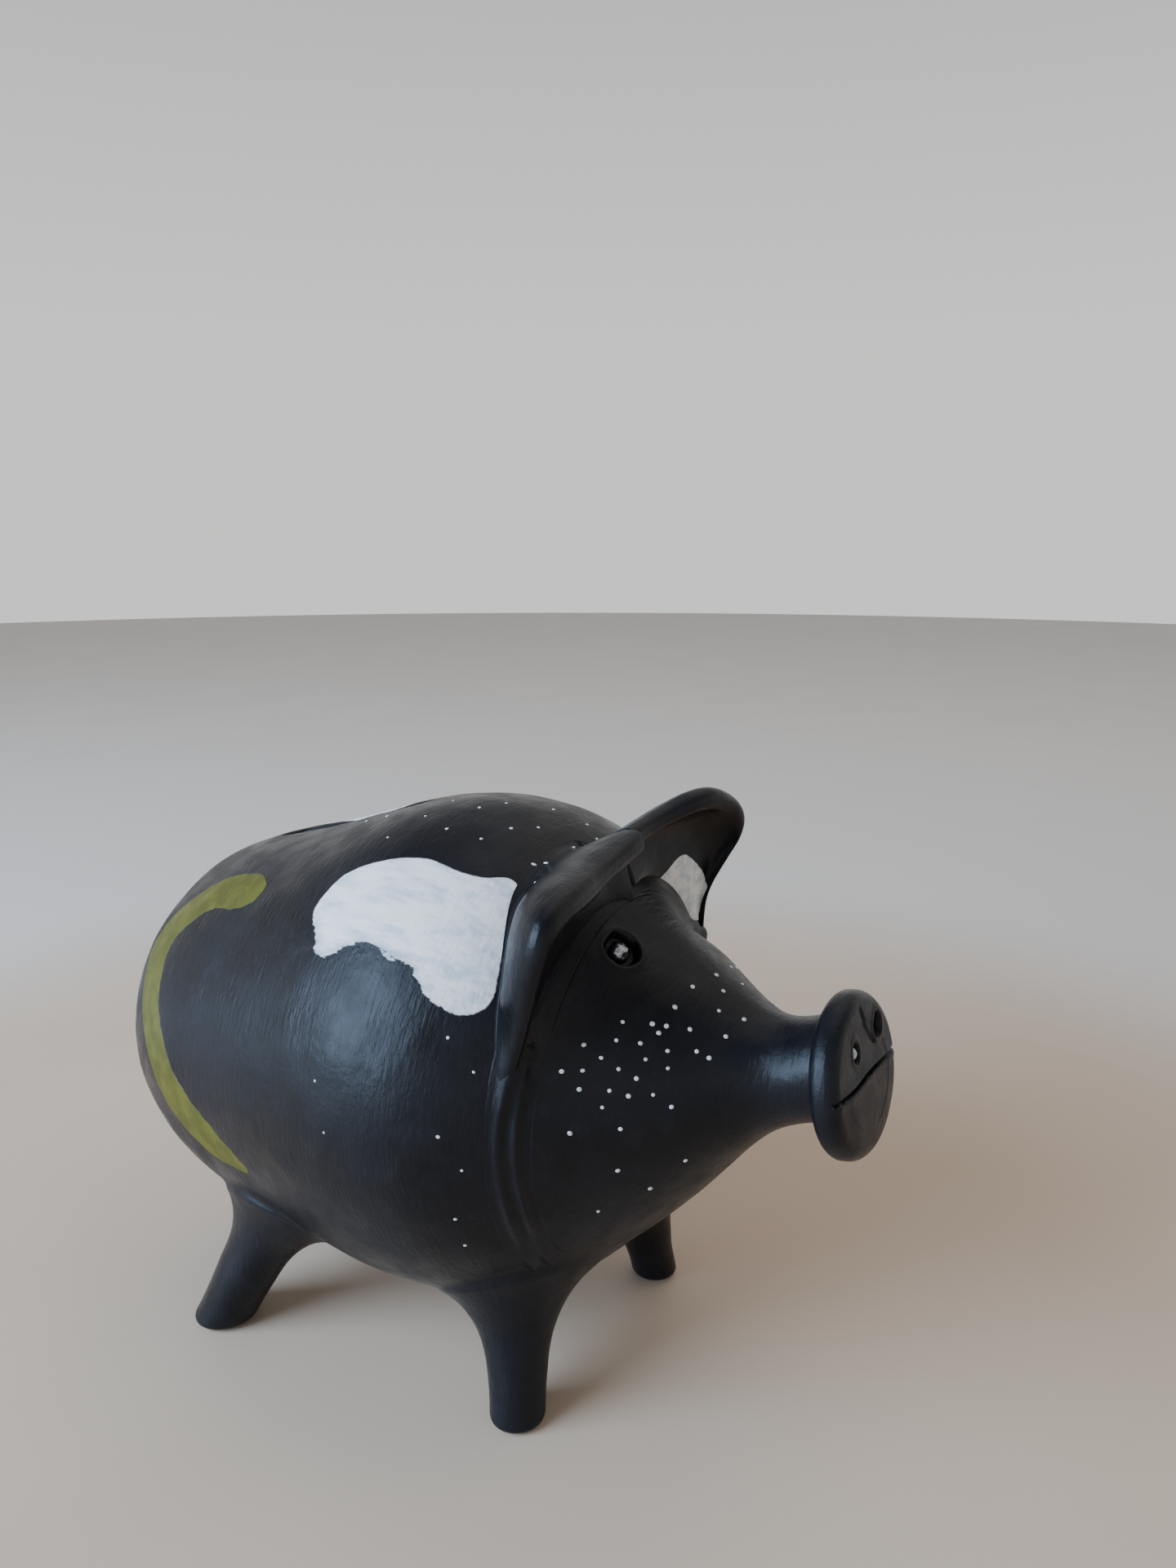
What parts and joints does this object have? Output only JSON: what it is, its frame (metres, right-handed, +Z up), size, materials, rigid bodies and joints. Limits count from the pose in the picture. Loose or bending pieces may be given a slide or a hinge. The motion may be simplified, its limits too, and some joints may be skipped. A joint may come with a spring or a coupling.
{
  "type": "piggy bank",
  "caption": "Hand-built clay money box in the shape of a standing pig, with a coin slot along its back and a pull-out rubber stopper under its belly.",
  "frame": {"origin": "on the floor under the middle of the pig's length and width", "axes": "+X towards the snout, +Y towards the pig's left side, +Z up"},
  "size_m": [0.1295, 0.0762, 0.0867],
  "materials": {
    "painted_clay": "satin black paint",
    "eye_clay": "satin black paint with a pale dab",
    "stopper_rubber": "matt"
  },
  "bodies": {
    "money_box": {"body_rear_shell": "painted_clay", "body_front_shell": "painted_clay", "seam_coil": "painted_clay", "snout_disc": "painted_clay", "ear_left": "painted_clay", "ear_right": "painted_clay", "tail": "painted_clay", "leg_front_left": "painted_clay", "leg_front_right": "painted_clay", "leg_rear_left": "painted_clay", "leg_rear_right": "painted_clay", "eye_left": "eye_clay", "eye_right": "eye_clay"},
    "stopper": {"belly_stopper": "stopper_rubber"}
  },
  "joints": [
    {"name": "stopper_pull", "type": "slide", "parent": "money_box", "child": "stopper", "axis": [0, 0, -1], "range_m": [0, 0.0088]}
  ]
}
